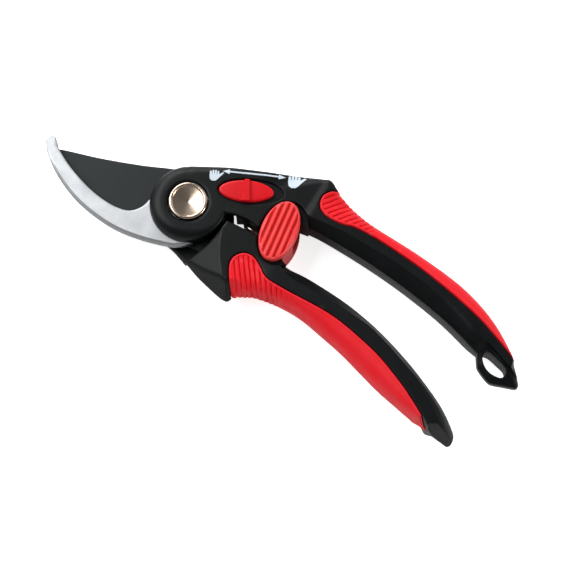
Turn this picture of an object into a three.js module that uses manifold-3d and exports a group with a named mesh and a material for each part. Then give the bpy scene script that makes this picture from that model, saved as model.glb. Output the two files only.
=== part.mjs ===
// Bypass pruning shears, closed and lying on their back.
// Millimetres, +Z up towards the front face. The origin is on the pivot axis, at the plane that
// the shears lie on. +X runs from the pivot to the handle ends and +Y to the upper handle.
import * as THREE from "three";
import { mergeVertices } from "three/addons/utils/BufferGeometryUtils.js";
import Module from "manifold-3d";

const wasm = await Module();
wasm.setup();

// ---------------------------------------------------------------- driving dimensions

const GAP = 0.3; // between pieces that touch on the real shears
const THICKNESS = 20; // of both handles
const GRIP_ROUND = 1.75; // rounding of the handles' long edges
const STEP = 5; // spacing of the points along a smooth outline

const HUB_RADIUS = 15.5;
const BACK_HUB = [1, 6.5]; // bottom and top of each layer at the pivot
const CUTTING = [6.8, 9.8];
const HOOK = [10.1, 13.9];
const FRONT_HUB = [14.2, 19];

const BOLT_RADIUS = 2.8;
const BOLT_HEAD_RADIUS = 7.6;
const BOLT_HEAD = [17.4, 20];
const BOLT_DISH = 1.1; // depth of the head's dished face
const BUSH_RADIUS = 5;
const NUT_HEIGHT = 4;
const NUT_RADIUS = 7.4; // across the corners

const SLIDER = { x: 17.6, y: 15.3, angle: 26, length: 21.8, width: 9.2, travel: 3.5 };
const PEG = { x: 24.5, y: 19, radius: 1 };
const SLIDER_FLOOR = 16.4;
const SLIDER_TOP = 19.8;

const PAD = { x: 37.3, y: 7.8, angle: 99.5, long: 12.5, short: 7.3 };
const LOCK_DIRECTION = 6; // degrees from +X
const LOCK_TRAVEL = 3;
const PAD_CLEARANCE = 1.2;
const FRONT_PAD = [17.2, 21.6];
const REAR_PAD = [0.3, 3];

const SPRING = { x: 26.5, radius: 3.1, wire: 0.55, turns: 7, from: -4.4, to: 10 };
const SKIN = 3.4; // thickness of the soft grips over the handles' cores
const FAR = 60; // well outside the shears

// ---------------------------------------------------------------- shapes and solids

const radians = (degrees) => (degrees * Math.PI) / 180;
const polar = (radius, angle) => [radius * Math.cos(radians(angle)), radius * Math.sin(radians(angle))];
const shifted = (points, dx, dy) => points.map(([x, y]) => [x + dx, y + dy]);

// Points along a smooth curve through the given ones.
function smooth(points, step = STEP) {
  const curve = new THREE.SplineCurve(points.map(([x, y]) => new THREE.Vector2(x, y)));
  return curve.getSpacedPoints(Math.ceil(curve.getLength() / step) + 2).map(({ x, y }) => [x, y]);
}

// A line moved sideways, to its left when the distance is positive.
function beside(points, distance) {
  return points.map(([x, y], i) => {
    const [x0, y0] = points[Math.max(i - 1, 0)];
    const [x1, y1] = points[Math.min(i + 1, points.length - 1)];
    const length = Math.hypot(x1 - x0, y1 - y0);
    return [x - ((y1 - y0) * distance) / length, y + ((x1 - x0) * distance) / length];
  });
}

// The points of a line that lie between two values of x.
const between = (points, low, high) => points.filter(([x]) => x > low && x < high);

// A closed outline made of lines that follow each other.
function outline(...lines) {
  const points = lines.flat().map(([x, y]) => new THREE.Vector2(x, y));
  const apart = (point, index) => point.distanceTo(points.at(index - 1)) > 0.05;
  return new THREE.Shape(points.filter(apart));
}

function arc(radius, from, to, steps = 12) {
  return Array.from({ length: steps + 1 }, (_, i) => polar(radius, from + ((to - from) * i) / steps));
}

function ellipse(long, short, x, y, angle) {
  const shape = new THREE.Shape();
  shape.absellipse(x, y, long, short, 0, 2 * Math.PI, false, radians(angle));
  return shape;
}

// A bar with half-round ends, from one end to the other.
function stadium(length, width, x, y, angle) {
  const half = (length - width) / 2;
  const ends = [-90, 90].map((start) =>
    arc(width / 2, start, start + 180, 8).map(([px, py]) => [px + (start < 0 ? half : -half), py]),
  );
  const turn = ([px, py]) => {
    const at = new THREE.Vector2(px, py).rotateAround(new THREE.Vector2(), radians(angle));
    return new THREE.Vector2(at.x + x, at.y + y);
  };
  return new THREE.Shape(ends.flat().map(turn));
}

function solid(geometry) {
  geometry.deleteAttribute("normal");
  geometry.deleteAttribute("uv");
  const merged = mergeVertices(geometry, 1e-3);
  const vertProperties = merged.attributes.position.array;
  const triVerts = new Uint32Array(merged.index.array);
  return new wasm.Manifold(new wasm.Mesh({ numProp: 3, vertProperties, triVerts }));
}

// A shape raised from bottom to top, with its edges rounded over inside the outline.
function prism(shape, [bottom, top], round = 0, curveSegments = 16) {
  const geometry = new THREE.ExtrudeGeometry(shape, {
    depth: top - bottom - 2 * round,
    bevelEnabled: round > 0,
    bevelThickness: round,
    bevelSize: round,
    bevelOffset: -round,
    bevelSegments: 2,
    curveSegments,
  });
  geometry.translate(0, 0, bottom + round);
  return solid(geometry);
}

// A body of revolution about the vertical line through x, y. The profile is [radius, height] pairs.
function turned(profile, segments = 40, x = 0, y = 0) {
  const points = profile.map(([radius, height]) => new THREE.Vector2(radius, height));
  const geometry = new THREE.LatheGeometry(points, segments);
  geometry.rotateX(Math.PI / 2);
  geometry.translate(x, y, 0);
  return solid(geometry);
}

const disc = (radius, [bottom, top], segments, x, y) =>
  turned([[0, bottom], [radius, bottom], [radius, top], [0, top]], segments, x, y);

const ring = (inner, outer, [bottom, top], segments) =>
  turned([[inner, bottom], [outer, bottom], [outer, top], [inner, top], [inner, bottom]], segments);

// A round bar along Y.
function barAlongY(radius, from, to, x, z) {
  const geometry = new THREE.CylinderGeometry(radius, radius, to - from, 20);
  geometry.translate(x, (from + to) / 2, z);
  return solid(geometry);
}

function block([x0, x1], [y0, y1], [z0, z1]) {
  const geometry = new THREE.BoxGeometry(x1 - x0, y1 - y0, z1 - z0);
  geometry.translate((x0 + x1) / 2, (y0 + y1) / 2, (z0 + z1) / 2);
  return solid(geometry);
}

const join = (first, ...others) => others.reduce((sum, next) => sum.add(next), first);
const cut = (first, ...others) => others.reduce((rest, next) => rest.subtract(next), first);

// ---------------------------------------------------------------- materials

function finish(color, roughness, metalness) {
  return new THREE.MeshStandardMaterial({ color, roughness, metalness });
}

const NYLON = finish(0x202426, 0.55, 0);
const SOFT_GRIP = finish(0xe02434, 0.6, 0);
const SLIDER_RED = finish(0xd81828, 0.4, 0);
const LOCK_RED = finish(0xe83a40, 0.45, 0);
const SATIN_STEEL = finish(0xd8dade, 0.3, 1);
const COATED_STEEL = finish(0x30393d, 0.45, 0.3);
const POLISHED = finish(0xd9d2c8, 0.12, 1);
const PLAIN_STEEL = finish(0x9a9690, 0.35, 1);

const shears = new THREE.Group();

function add(name, made, material) {
  const { vertProperties, triVerts } = made.getMesh();
  const geometry = new THREE.BufferGeometry();
  geometry.setAttribute("position", new THREE.BufferAttribute(vertProperties, 3));
  geometry.setIndex(new THREE.BufferAttribute(triVerts, 1));
  geometry.computeVertexNormals();
  const mesh = new THREE.Mesh(geometry, material);
  mesh.name = name;
  shears.add(mesh);
}

// ---------------------------------------------------------------- lines shared by the pieces

const UPPER = {
  top: smooth([[-7.9, 13.5], [6.1, 20.9], [22, 27.8], [43.4, 37]]),
  corner: [[46.3, 35.8]],
  outer: smooth([
    [49.8, 34], [58, 31.6], [68, 29.9], [89, 28.9], [109, 26.5], [125, 21.4], [137, 14.3], [147.6, 3.8],
  ]),
  tail: smooth([[147.6, 3.8], [146.8, 2.2], [142.5, 0.5], [137.6, -1], [133.2, 0.3], [130.4, 2], [127.5, 6.3]]),
  inner: smooth([[127.5, 6.3], [108, 11.4], [88, 14.5], [69, 16], [51, 16.1], [42.5, 14.9]]),
  underside: smooth([[42.5, 14.9], [36, 9.7], [29.2, 5.2]]),
  slot: [29.2, 5.2],
  gripEdge: smooth([
    [49.8, 36.2], [45.4, 31.6], [44.3, 27.8], [46.4, 24], [51, 22.5], [58, 22.8], [66, 24.4], [83, 24],
    [102, 21.6], [123, 17.1], [144.5, 9],
  ]),
};

const LOWER = {
  slot: [[17.1, 1.2], [30, 2]],
  crotch: smooth([[30, 2], [38, 0.6], [45, -1.6]]),
  inner: smooth([
    [45, -1.6], [56, -1.4], [70, -2], [91, -5.5], [113, -12.9], [126, -19], [134.6, -25.2], [136.6, -29.8],
  ]),
  outer: smooth([
    [134.5, -30.8], [120, -28.7], [103, -25.6], [82, -20], [66, -16.7], [52, -15.9], [40, -18.6], [34, -23.2],
  ]),
  heel: smooth([[31.8, -25.2], [20.9, -23], [10.7, -20.1]]),
  hubSide: smooth([[10.7, -20.1], [12.2, -17], [15.1, -10.4], [16.3, -5.8], [17.1, 1.2]]),
  gripEdge: smooth([
    [35.4, -24.8], [31.2, -20], [27, -13.2], [28, -8.4], [32.2, -5.8], [38, -8], [45, -10.9], [66, -10.6],
    [86, -12.8], [108, -19.9], [120, -26.2], [128.5, -31.5],
  ]),
};

// The room that the lock's pads need: their ellipse, widened by the lock's travel.
function padRoom(layer) {
  const [dx, dy] = polar(LOCK_TRAVEL / 2, LOCK_DIRECTION);
  const long = PAD.long + PAD_CLEARANCE;
  const short = PAD.short + PAD_CLEARANCE + LOCK_TRAVEL / 2;
  return prism(ellipse(long, short, PAD.x + dx, PAD.y + dy, PAD.angle), layer, 0, 24);
}

const frontPadRoom = () => padRoom([FRONT_PAD[0] - GAP, FAR]);
const rearPadRoom = () => padRoom([-1, REAR_PAD[1] + GAP]);

// Splits a handle into its nylon body and the soft grip that wraps its outer side.
// The core stays nylon: it lies a skin's thickness inside the handle's outer side, front and back.
function splitHandle(whole, gripEdge, outer, outward) {
  const [first, last] = [gripEdge.at(0)[0], gripEdge.at(-1)[0]];
  const farSide = [[last, outward * FAR], [first, outward * FAR]];
  const softZone = (inwards) => prism(outline(beside(gripEdge, outward * inwards), farSide), [-1, FAR]);
  const core = (grow) => {
    const edge = shifted(outer, 0, outward * (grow - SKIN));
    const [from, to] = [edge.at(0)[0] - grow, edge.at(-1)[0] + grow];
    const sides = [[to, edge.at(-1)[1]], [to, 0], [from, 0], [from, edge.at(0)[1]]];
    return prism(outline(edge, sides), [SKIN - grow, THICKNESS - SKIN + grow]);
  };
  return {
    nylon: cut(whole, cut(softZone(0), core(0))),
    soft: cut(whole.intersect(softZone(GAP)), core(GAP)),
  };
}

// ---------------------------------------------------------------- upper handle, with the hook

const TANG_OF_HOOK = [[2, 11], [33, 27.5], [38.5, 21], [12, 6]];
const TANG_OF_CUTTER = [[8, -6.5], [42, -6.5], [42, -12.5], [5, -13.5]];
const POCKET_GROWTH = 1.12; // of a tang's pocket over the tang

// The pocket that a tang sits in: the tang, a little larger all round.
function tangPocket(corners, [bottom, top]) {
  const middle = (axis) => corners.reduce((sum, corner) => sum + corner[axis], 0) / corners.length;
  const [mx, my] = [middle(0), middle(1)];
  const grown = corners.map(([x, y]) => [mx + (x - mx) * POCKET_GROWTH, my + (y - my) * POCKET_GROWTH]);
  return prism(outline(grown), [bottom - GAP, top + GAP]);
}

const RIVET_RADIUS = 1.9;
const HOOK_RIVETS = [[21, 13.8], [32.5, 22.6]];
const CUTTER_RIVETS = [[22.5, -10], [35, -9.6]];
const RIVET_REACH = [3, 1]; // into the nylon, behind and in front of the tang

const rivetHoles = (places, [bottom, top], grow) =>
  places.map(([x, y]) =>
    disc(RIVET_RADIUS + grow, [bottom - RIVET_REACH[0] - grow, top + RIVET_REACH[1] + grow], 20, x, y),
  );

function addRivets(prefix, places, layer) {
  rivetHoles(places, layer, 0).forEach((rivet, i) => add(`${prefix}_rivet_${i + 1}`, rivet, PLAIN_STEEL));
}

function sliderRoom() {
  const [dx, dy] = polar(SLIDER.travel / 2, SLIDER.angle);
  const long = SLIDER.length + SLIDER.travel + 2;
  return prism(
    stadium(long, SLIDER.width + 1.6, SLIDER.x + dx, SLIDER.y + dy, SLIDER.angle),
    [SLIDER_FLOOR, FAR],
  );
}

const HANGING_HOLE = smooth(
  [
    [130.1, 8.5], [132.3, 8.7], [135.9, 7.9], [139.4, 6.8], [140.8, 4.5], [139.5, 2.5], [136.2, 2.2], [133, 3.2],
    [130.9, 4.9], [130.1, 8.5],
  ],
  2,
);
const CATCH_PIN = { x: 35, y: 11.6, radius: 1.2, height: [6, 14] };
const SLIDER_LEAF = { x: 14.5, y: 13.9, pocketFloor: 15 };

function makeUpperHandle() {
  const head = arc(HUB_RADIUS + 2.3, 14, 76, 8);
  const { slot, corner, outer, tail, inner, underside } = UPPER;
  const gripOutline = outline([slot], head, between(UPPER.top, 8, FAR), corner, outer, tail, inner, underside);
  const grip = prism(gripOutline, [0, THICKNESS], GRIP_ROUND);
  const neckTop = between(UPPER.top, -8, 28);
  const neck = prism(outline([slot, head[0], [14, 2], [-9, 11]], neckTop, [[28, 25]]), FRONT_HUB);
  const hub = turned([
    [0, FRONT_HUB[0]], [HUB_RADIUS, FRONT_HUB[0]], [HUB_RADIUS, 15.6], [13.6, 18], [11, FRONT_HUB[1]],
    [0, FRONT_HUB[1]],
  ]);
  const boltSeat = disc(BOLT_HEAD_RADIUS + 0.6, [BOLT_HEAD[0] - 0.7, FAR]);
  const springPocket = barAlongY(SPRING.radius + 1.2, 0, SPRING.to + 0.4, SPRING.x, THICKNESS / 2);
  const [pegX, pegY] = polar(SLIDER.travel / 2, SLIDER.angle);
  const pegSlot = prism(
    stadium(SLIDER.travel + 3.2, 3.2, PEG.x + pegX, PEG.y + pegY, SLIDER.angle),
    [FRONT_HUB[0] + 0.3, FAR],
  );
  const leaf = SLIDER_LEAF;
  const leafPocket = prism(stadium(12, 4.4, leaf.x, leaf.y, SLIDER.angle), [leaf.pocketFloor, FAR]);
  const { x, y, radius, height } = CATCH_PIN;
  const pinHole = disc(radius + GAP, [height[0] - GAP, height[1] + GAP], 20, x, y);
  const latchNotch = block([33.2, 38], [6, 11.4], [8, 12]);
  const whole = cut(
    join(grip, neck, hub),
    prism(outline(HANGING_HOLE), [-1, FAR]),
    boltSeat,
    disc(BOLT_RADIUS + GAP, [0, FAR]),
    sliderRoom(),
    pegSlot,
    leafPocket,
    frontPadRoom(),
    rearPadRoom(),
    springPocket,
    tangPocket(TANG_OF_HOOK, HOOK),
    ...rivetHoles(HOOK_RIVETS, HOOK, GAP),
    pinHole,
    latchNotch,
  );
  const { nylon, soft } = splitHandle(whole, UPPER.gripEdge, between(outer, 54, 132), 1);
  add("upper_handle_body", nylon, NYLON);
  add("upper_grip_insert", soft, SOFT_GRIP);
  addRivets("hook", HOOK_RIVETS, HOOK);
  add("lock_catch_pin", disc(radius, height, 20, x, y), PLAIN_STEEL);
}

const HOOK_OUTLINE = {
  inner: smooth([
    [-60.9, -3.6], [-56.7, -6.6], [-48.6, -11.2], [-37, -14.9], [-27, -15.9], [-19.5, -14.4], [-15.6, -10.2],
    [-14.4, -5],
  ]),
  outer: smooth([
    [10, -11.6], [7.6, -15], [2.5, -18], [-9.2, -21.5], [-22, -23.2], [-37, -21.6], [-49.5, -17.2], [-58.5, -11.6],
    [-62.7, -7.2], [-63.4, -5.2], [-62.5, -3.6], [-60.9, -3.6],
  ]),
};

function makeHook() {
  const beak = prism(outline(HOOK_OUTLINE.inner, [[-14.4, -5], [0, 0]], HOOK_OUTLINE.outer), HOOK, 0.4);
  const plate = join(beak, disc(HUB_RADIUS, HOOK), prism(outline(TANG_OF_HOOK), HOOK));
  const whole = cut(
    plate,
    disc(BUSH_RADIUS + GAP, [0, FAR]),
    ...rivetHoles(HOOK_RIVETS, HOOK, GAP),
    barAlongY(SPRING.radius + 1.2, 0, SPRING.to + 0.4, SPRING.x, THICKNESS / 2),
  );
  add("hook_blade", whole, SATIN_STEEL);
}

// ---------------------------------------------------------------- lower handle, with the cutting blade

const TONGUE = { y: [-2.4, 1.8], z: [8.5, 11.5] };

function makeLowerHandle() {
  const { slot, crotch, inner, outer, heel, hubSide } = LOWER;
  const grip = prism(outline(slot, crotch, inner, outer, heel, hubSide), [0, THICKNESS], GRIP_ROUND);
  const neckEdge = smooth([[-2, -16.7], [4, -17.7], [10.6, -19.9]]);
  const neck = prism(outline(neckEdge, [[25, -20], [25, 1.4], [17, 1.2], [14, 8]]), BACK_HUB);
  const backHub = join(disc(HUB_RADIUS + 1.2, BACK_HUB), neck);
  const springPocket = barAlongY(SPRING.radius + 1.2, SPRING.from - 0.4, 6, SPRING.x, THICKNESS / 2);
  const groove = block([34, 60], [TONGUE.y[0] - 0.4, 6], [TONGUE.z[0] - 0.4, TONGUE.z[1] + 0.4]);
  const leafPocket = block([35.5, 43.5], [-4.4, 0], [9, 11]);
  const frontHubRoom = disc(HUB_RADIUS + 0.9, [BACK_HUB[1], FAR]);
  const whole = cut(
    join(cut(grip, frontHubRoom), backHub),
    disc(NUT_RADIUS + 0.6, [-1, NUT_HEIGHT + 0.9]),
    disc(BUSH_RADIUS + GAP, [0, FAR]),
    frontPadRoom(),
    rearPadRoom(),
    springPocket,
    groove,
    leafPocket,
    tangPocket(TANG_OF_CUTTER, CUTTING),
    ...rivetHoles(CUTTER_RIVETS, CUTTING, GAP),
  );
  const { nylon, soft } = splitHandle(whole, LOWER.gripEdge, between(LOWER.outer, 41, 112).reverse(), -1);
  add("lower_handle_body", nylon, NYLON);
  add("lower_grip_insert", soft, SOFT_GRIP);
  addRivets("cutter", CUTTER_RIVETS, CUTTING);
  const leafBack = smooth([[35.9, -4.1], [39.5, -3.3], [43.1, -4.1]]);
  const leafFront = shifted(leafBack, 0, 0.4).reverse();
  add("lock_detent_spring", prism(outline(leafBack, leafFront), [9.3, 10.7]), PLAIN_STEEL);
}

const CUTTER_OUTLINE = {
  spine: smooth([[-61, -8.2], [-57.4, -5.9], [-41.6, -0.8], [-26.3, 5], [-16, 9.6], [-8, 13.3]]),
  edge: smooth([
    [-12, -10], [-15.5, -14.2], [-21, -17.2], [-30, -18.2], [-40, -17], [-50, -14], [-57.5, -10.4], [-61, -8.2],
  ]),
};

function makeCutter() {
  const blade = prism(outline(CUTTER_OUTLINE.spine, [[-8, 13.3], [0, 0]], CUTTER_OUTLINE.edge), CUTTING);
  const plate = join(blade, disc(HUB_RADIUS, CUTTING), prism(outline(TANG_OF_CUTTER), CUTTING));
  const whole = cut(plate, disc(BUSH_RADIUS + GAP, [0, FAR]), ...rivetHoles(CUTTER_RIVETS, CUTTING, GAP));
  add("cutting_blade", whole, COATED_STEEL);
}

// ---------------------------------------------------------------- pivot

function makePivot() {
  const [seat, rim] = BOLT_HEAD;
  const bolt = turned([
    [0, 1.4], [BOLT_RADIUS, 1.4], [BOLT_RADIUS, seat], [BOLT_HEAD_RADIUS, seat], [BOLT_HEAD_RADIUS, rim - 0.5],
    [7.1, rim], [6.4, rim], [4.5, rim - BOLT_DISH * 0.6], [2.5, rim - BOLT_DISH * 0.9], [0, rim - BOLT_DISH],
  ]);
  const springWasher = ring(BOLT_RADIUS + GAP, BOLT_HEAD_RADIUS - 0.6, [seat - 0.6, seat - 0.2]);
  add("pivot_bolt", bolt, POLISHED);
  add("pivot_spring_washer", springWasher, PLAIN_STEEL);
  add("pivot_bush", ring(BOLT_RADIUS + GAP, BUSH_RADIUS, [NUT_HEIGHT + GAP, HOOK[1]]), PLAIN_STEEL);
  const washer = [NUT_HEIGHT + 0.2, NUT_HEIGHT + 0.6];
  add("pivot_rear_washer", ring(BUSH_RADIUS + GAP, NUT_RADIUS, washer), PLAIN_STEEL);
  const nut = cut(disc(NUT_RADIUS, [0, NUT_HEIGHT], 6), disc(BOLT_RADIUS + GAP, [1.2, FAR]));
  add("pivot_nut", nut, PLAIN_STEEL);
}

// ---------------------------------------------------------------- return spring

// A wire coiled about a line along Y, which pushes the two handles apart.
class Coil extends THREE.Curve {
  getPoint(t, target = new THREE.Vector3()) {
    const turn = 2 * Math.PI * SPRING.turns * t;
    const y = SPRING.from + SPRING.wire + (SPRING.to - SPRING.from - 2 * SPRING.wire) * t;
    const z = THICKNESS / 2 + SPRING.radius * Math.sin(turn);
    return target.set(SPRING.x + SPRING.radius * Math.cos(turn), y, z);
  }
}

function makeReturnSpring() {
  const section = ellipse(SPRING.wire, SPRING.wire, 0, 0, 0);
  const steps = SPRING.turns * 12;
  const extrusion = { steps, extrudePath: new Coil(), curveSegments: 3, bevelEnabled: false };
  add("return_spring", solid(new THREE.ExtrudeGeometry(section, extrusion)), PLAIN_STEEL);
}

// ---------------------------------------------------------------- hand size slider

function makeSlider() {
  const { x, y, angle, length, width } = SLIDER;
  const face = prism(stadium(length, width, x, y, angle), [SLIDER_FLOOR + GAP, SLIDER_TOP], 0.8);
  const ridge = prism(stadium(width, 2.6, x, y, angle + 90), [SLIDER_TOP - 1, SLIDER_TOP + 1.4], 0.6);
  const pegHole = disc(PEG.radius + GAP, [0, SLIDER_TOP - 1.5], 16, PEG.x, PEG.y);
  add("size_slider", cut(join(face, ridge), pegHole), SLIDER_RED);
  const peg = disc(PEG.radius, [FRONT_HUB[0] + 0.7, SLIDER_TOP - 1.9], 16, PEG.x, PEG.y);
  add("size_slider_peg", peg, PLAIN_STEEL);
  const bottom = SLIDER_LEAF.pocketFloor + GAP;
  const leaf = prism(stadium(10.4, 3, SLIDER_LEAF.x, SLIDER_LEAF.y, angle), [bottom, bottom + 0.4]);
  const bump = prism(stadium(3, 3, SLIDER_LEAF.x, SLIDER_LEAF.y, angle), [bottom + 0.2, bottom + 1.1]);
  add("slider_detent_spring", join(leaf, bump), PLAIN_STEEL);
}

// ---------------------------------------------------------------- lock

const LOCK_SCREW = { x: 39.4, y: 4, radius: 1.4, headRadius: 3, height: [0.9, 18.9], headTop: 2.1 };

function makeLock() {
  const { x, y, radius, headRadius, height, headTop } = LOCK_SCREW;
  const shankHole = disc(radius + GAP, [-1, height[1] + 0.5], 20, x, y);
  const headHole = disc(headRadius + GAP, [-1, headTop + GAP], 20, x, y);
  const padShape = ellipse(PAD.long, PAD.short, PAD.x, PAD.y, PAD.angle);
  add("lock_front_pad", cut(prism(padShape, FRONT_PAD, 1.6, 20), shankHole), LOCK_RED);
  add("lock_rear_pad", cut(prism(padShape, REAR_PAD, 0.9, 20), shankHole, headHole), LOCK_RED);
  const webSide = smooth([[43.5, -0.2], [44.4, 2.7], [44.5, 6]], 1.5);
  const webOutline = outline([[35.8, 1.7], [38, 1.1]], webSide, [[36.2, 6]]);
  const web = prism(webOutline, [REAR_PAD[1] + GAP, FRONT_PAD[0] - GAP]);
  const tongue = block([36, 42.6], TONGUE.y, TONGUE.z);
  const latch = block([34.4, 38.2], [4.5, 9.6], [8.6, 11.4]);
  add("lock_carriage", cut(join(web, tongue, latch), shankHole), LOCK_RED);
  const screw = join(disc(radius, height, 20, x, y), disc(headRadius, [height[0], headTop], 20, x, y));
  add("lock_screw", screw, PLAIN_STEEL);
}

makeUpperHandle();
makeHook();
makeLowerHandle();
makeCutter();
makePivot();
makeReturnSpring();
makeSlider();
makeLock();

export default shears;
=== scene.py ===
"""The looks of bypass pruning shears, built around their CAD frame.

Lengths are millimetres in the plane of the shears, and turn into metres where a mesh is made.
"""

import math

import bpy
import numpy as np
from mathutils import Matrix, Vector
from mathutils.geometry import delaunay_2d_cdt
from mathutils.kdtree import KDTree


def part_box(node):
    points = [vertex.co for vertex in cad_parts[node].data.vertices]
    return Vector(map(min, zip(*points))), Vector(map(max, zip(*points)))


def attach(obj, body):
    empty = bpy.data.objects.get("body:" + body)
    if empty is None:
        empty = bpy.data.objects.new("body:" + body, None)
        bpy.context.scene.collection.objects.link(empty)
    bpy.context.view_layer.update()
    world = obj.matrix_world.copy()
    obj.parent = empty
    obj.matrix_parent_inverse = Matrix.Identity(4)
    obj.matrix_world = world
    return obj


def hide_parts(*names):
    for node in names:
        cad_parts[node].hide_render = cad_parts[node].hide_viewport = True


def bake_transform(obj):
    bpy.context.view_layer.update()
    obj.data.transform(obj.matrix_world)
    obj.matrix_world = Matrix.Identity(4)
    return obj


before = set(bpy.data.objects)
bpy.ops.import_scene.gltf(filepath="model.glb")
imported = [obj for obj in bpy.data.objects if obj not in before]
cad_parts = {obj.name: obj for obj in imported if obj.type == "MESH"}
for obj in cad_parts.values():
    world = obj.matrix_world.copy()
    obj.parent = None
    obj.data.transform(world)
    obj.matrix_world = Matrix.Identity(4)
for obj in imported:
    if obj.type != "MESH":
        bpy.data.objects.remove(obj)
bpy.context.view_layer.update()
MM = 0.001
CHUNK = 1500  # points measured at a time, to save memory
SHARP_ANGLE = 34  # edges bent further than this are shaded as edges


def span(node, axis):
    """Where a CAD node begins and ends along an axis, in millimetres."""
    low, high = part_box(node)
    return low[axis] / MM, high[axis] / MM


def middle(node, axis):
    return sum(span(node, axis)) / 2


X, Y, Z = 0, 1, 2

# ---- dimensions

HUB_RADIUS = 15.5
FRONT_HUB = 14.2  # underside of the front hub
FACE = 19.2  # height of the heads' faces
THICKNESS = span("upper_grip_insert", Z)[1]
CUTTING = span("cutting_blade", Z)
HOOK = span("hook_blade", Z)
CAP_RADIUS = span("pivot_bolt", X)[1]
CAP_TOP = span("pivot_bolt", Z)[1]
SLIDER_TOP = span("size_slider", Z)[1]
SLIDER_FLOOR = FACE - 1.1
SLIDER_AT = (middle("size_slider", X), middle("size_slider", Y))
FRONT_PAD = span("lock_front_pad", Z)
REAR_PAD = span("lock_rear_pad", Z)
PAD_AT = (middle("lock_front_pad", X), middle("lock_front_pad", Y))
NUT = span("pivot_nut", Z)
SPRING_AT = (middle("return_spring", X), middle("return_spring", Z))
SPRING_ENDS = span("return_spring", Y)

SEAT_RADIUS = CAP_RADIUS + 0.6
BUSH_HOLE = 5.3
SLIDER_ANGLE = 26
SLIDER_LENGTH, SLIDER_WIDTH = 21.8, 9.0
SLIDER_TRAVEL = 3.5
PAD_ANGLE = 99.5
PAD_LONG, PAD_SHORT = 12.5, 7.3
LOCK_ANGLE, LOCK_TRAVEL = 6, 3.0
PAD_GAP = 0.9
WIRE = 0.55
GROOVE = 0.12  # half the groove between nylon and soft grip

VIEW_TILT, VIEW_TURN = 15, 31
VIEW_TARGET = (47.47, -7.17, 10)
VIEW_DISTANCE = 700
VIEW_WIDTH = 222.2  # what the camera sees across, at the target
SENSOR = 36

# ---- lines in the plane


def unit(angle):
    return np.array([math.cos(math.radians(angle)), math.sin(math.radians(angle))])


def evenly(line, step):
    """The same line, with its points a step apart."""
    run = np.r_[0, np.cumsum(np.hypot(*np.diff(line, axis=0).T))]
    at = np.linspace(0, run[-1], max(round(run[-1] / step), 1) + 1)
    return np.column_stack([np.interp(at, run, line[:, k]) for k in (0, 1)])


def smooth(points):
    """A smooth line through the points."""
    p = np.array(points, float)
    padded = np.vstack([p[:1], p, p[-1:]])
    t = np.linspace(0, 1, 24, endpoint=False)[:, None]
    parts = []
    for i in range(len(p) - 1):
        before, start, end, after = padded[i : i + 4]
        leaving, arriving = (end - before) / 2, (after - start) / 2
        cubic = 2 * start - 2 * end + leaving + arriving
        square = 3 * end - 3 * start - 2 * leaving - arriving
        parts.append(((cubic * t + square) * t + leaving) * t + start)
    return evenly(np.vstack(parts + [p[-1:]]), 0.5)


def arc(radius, start, end, step=0.5, centre=(0, 0)):
    count = max(int(abs(math.radians(end - start)) * radius / step), 8)
    angles = np.radians(np.linspace(start, end, count + 1))
    return np.column_stack([np.cos(angles), np.sin(angles)]) * radius + centre


def circle(radius, step=0.5, centre=(0, 0)):
    """A closed circle, for a hole."""
    return arc(radius, 0, 360, step, centre)[:-1]


def oval(long, short, centre, angle, step=0.5, power=2.0):
    """A closed oval. A power under 2 gives it more pointed ends."""
    t = np.linspace(0, 2 * math.pi, max(int(2 * math.pi * long / step), 24), endpoint=False)
    along = np.sign(np.cos(t)) * np.abs(np.cos(t)) ** (2 / power) * long
    across = np.sign(np.sin(t)) * np.abs(np.sin(t)) ** (2 / power) * short
    u, v = unit(angle), unit(angle + 90)
    return np.outer(along, u) + np.outer(across, v) + centre


def loop(*lines, step=0.6):
    """A closed outline made of lines that follow each other."""
    points = np.vstack([np.atleast_2d(line).astype(float) for line in lines])
    points = points[np.hypot(*(points - np.roll(points, 1, axis=0)).T) > 0.05]
    parts = []
    for a, b in zip(points, np.roll(points, -1, axis=0)):
        count = max(math.ceil(math.dist(a, b) / step), 1)
        parts.append(a + (b - a) * np.arange(count)[:, None] / count)
    return np.vstack(parts)


def beside(line, offset, closed=False):
    """A line moved to its left."""
    if closed:
        along = np.roll(line, -1, axis=0) - np.roll(line, 1, axis=0)
    else:
        along = np.gradient(line, axis=0)
    along /= np.hypot(*along.T)[:, None] + 1e-12
    return line + np.column_stack([-along[:, 1], along[:, 0]]) * offset


def distance(points, line, closed=False, signed=False):
    """How far each point is from a line. Signed, it is positive to the line's left."""
    a = line if closed else line[:-1]
    b = np.roll(line, -1, axis=0) if closed else line[1:]
    d = b - a
    keep = (d * d).sum(1) > 1e-12
    a, d = a[keep], d[keep]
    square = (d * d).sum(1)
    found = np.empty(len(points))
    for start in range(0, len(points), CHUNK):
        chunk = points[start : start + CHUNK]
        px = chunk[:, :1] - a[:, 0]
        py = chunk[:, 1:] - a[:, 1]
        t = np.clip((px * d[:, 0] + py * d[:, 1]) / square, 0, 1)
        far = np.hypot(px - t * d[:, 0], py - t * d[:, 1])
        nearest = far.argmin(1)
        rows = np.arange(len(chunk))
        best = far[rows, nearest]
        if signed:
            cross = d[nearest, 0] * py[rows, nearest] - d[nearest, 1] * px[rows, nearest]
            best = best * np.where(cross >= 0, 1, -1)
        found[start : start + CHUNK] = best
    return found


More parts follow.
